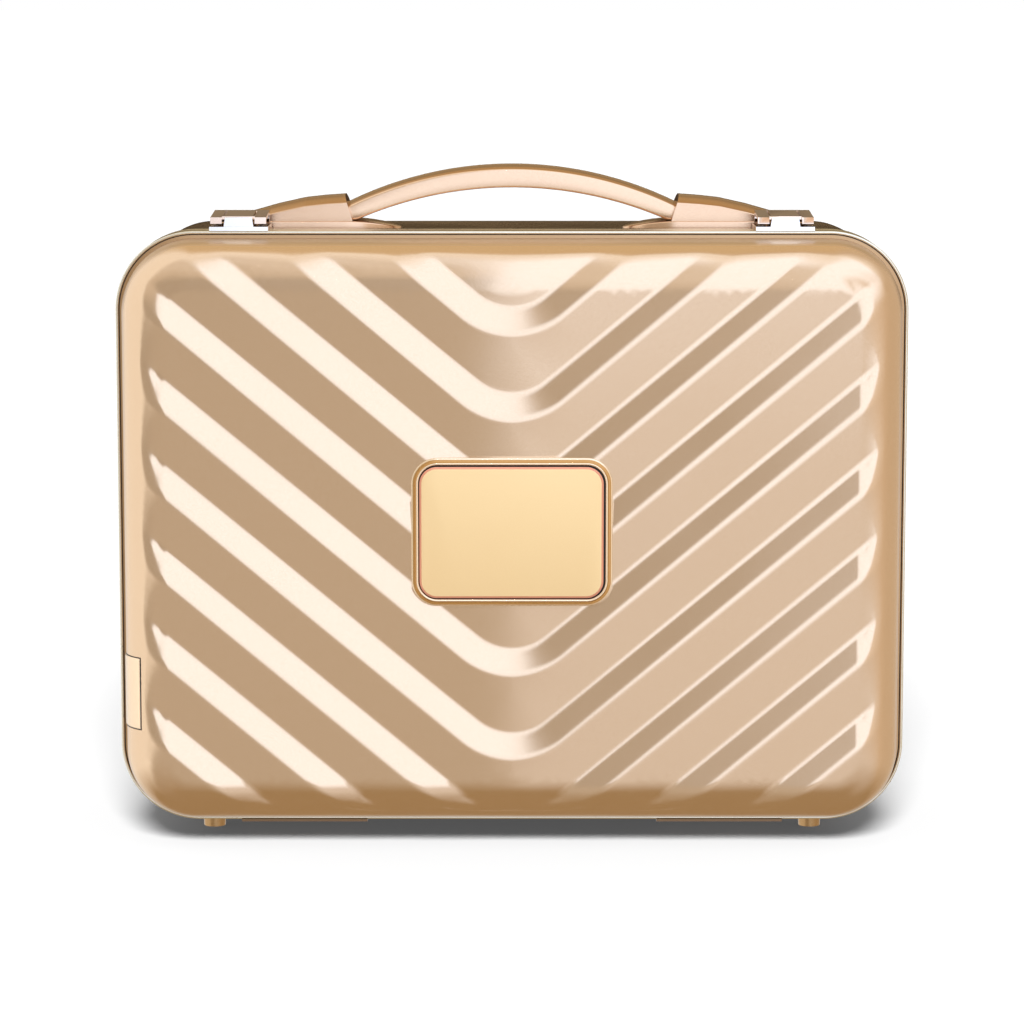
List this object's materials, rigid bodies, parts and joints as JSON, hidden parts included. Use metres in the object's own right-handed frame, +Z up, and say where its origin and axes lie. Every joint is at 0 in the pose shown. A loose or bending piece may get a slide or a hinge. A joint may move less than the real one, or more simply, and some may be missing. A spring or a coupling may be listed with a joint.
{
  "type": "beauty case",
  "caption": "Hard-shell beauty case with chevron facets, front-opening hinged lid, snap latches and an arched carrying strap.",
  "frame": {"origin": "centre of the footprint on the floor, under the feet", "axes": "+Z up, -Y towards the lid's front face, +X to the right seen from the front"},
  "size_m": [0.31, 0.151, 0.2651],
  "materials": {
    "shell_plastic": "champagne moulded shell, satin gloss",
    "bead_metal": "pale gold anodised frame",
    "lining_fabric": "padded lining",
    "divider_fabric": "padded divider",
    "mirror_glass": "mirror glass",
    "trim_plastic": "moulded trim",
    "badge_rim_plastic": "rose gold rim",
    "badge_metal": "brushed pale gold plate",
    "chrome": "polished chrome",
    "hinge_steel": "dark bronze",
    "pin_steel": "plated steel",
    "seal_rubber": "black seal",
    "latch_metal": "taupe satin metal",
    "handle_plastic": "champagne moulded handle mount",
    "strap_plastic": "champagne strap",
    "foot_rubber": "bronze foot"
  },
  "bodies": {
    "case": {"body_shell": "shell_plastic", "body_frame": "bead_metal", "body_lining": "lining_fabric", "long_divider": "divider_fabric", "short_divider_left": "divider_fabric", "short_divider_right": "divider_fabric", "body_leaf_left": "hinge_steel", "body_leaf_right": "hinge_steel", "hinge_pin_left": "pin_steel", "hinge_pin_right": "pin_steel", "body_rivets": "pin_steel", "latch_pin_left": "pin_steel", "latch_pin_right": "pin_steel", "frame_seal": "seal_rubber", "latch_base_left": "latch_metal", "latch_base_right": "latch_metal", "handle_plate_left": "handle_plastic", "handle_plate_right": "handle_plastic", "sleeve_left": "handle_plastic", "sleeve_right": "handle_plastic", "strap_end_left": "strap_plastic", "strap_end_right": "strap_plastic", "handle_screws": "pin_steel", "foot_screws": "pin_steel", "feet": "foot_rubber"},
    "lid": {"lid_shell": "shell_plastic", "lid_frame": "bead_metal", "lid_lining": "lining_fabric", "mirror": "mirror_glass", "mirror_frame": "trim_plastic", "badge_rim": "badge_rim_plastic", "badge_plate": "badge_metal", "side_cover": "trim_plastic", "keeper_left": "chrome", "keeper_right": "chrome", "lid_leaf_left": "hinge_steel", "lid_leaf_right": "hinge_steel", "lid_rivets": "pin_steel"},
    "grip": {"handle_grip": "strap_plastic"},
    "lever_left": {"latch_lever_left": "latch_metal"},
    "lever_right": {"latch_lever_right": "latch_metal"}
  },
  "joints": [
    {"name": "lid_hinge", "type": "hinge", "parent": "case", "child": "lid", "pos_m": [0, -0.0383, 0.0068], "axis": [1, 0, 0], "range_deg": [0, 100]},
    {"name": "latch_left", "type": "hinge", "parent": "case", "child": "lever_left", "pos_m": [-0.1066, -0.0253, 0.2447], "axis": [-1, 0, 0], "range_deg": [0, 75]},
    {"name": "latch_right", "type": "hinge", "parent": "case", "child": "lever_right", "pos_m": [0.1066, -0.0253, 0.2447], "axis": [-1, 0, 0], "range_deg": [0, 75]},
    {"name": "strap_lift", "type": "slide", "parent": "case", "child": "grip", "axis": [0, 0, 1], "range_m": [0, 0.008], "stiffness_N_per_m": 150, "deforming": ["strap_end_left", "strap_end_right"]}
  ]
}
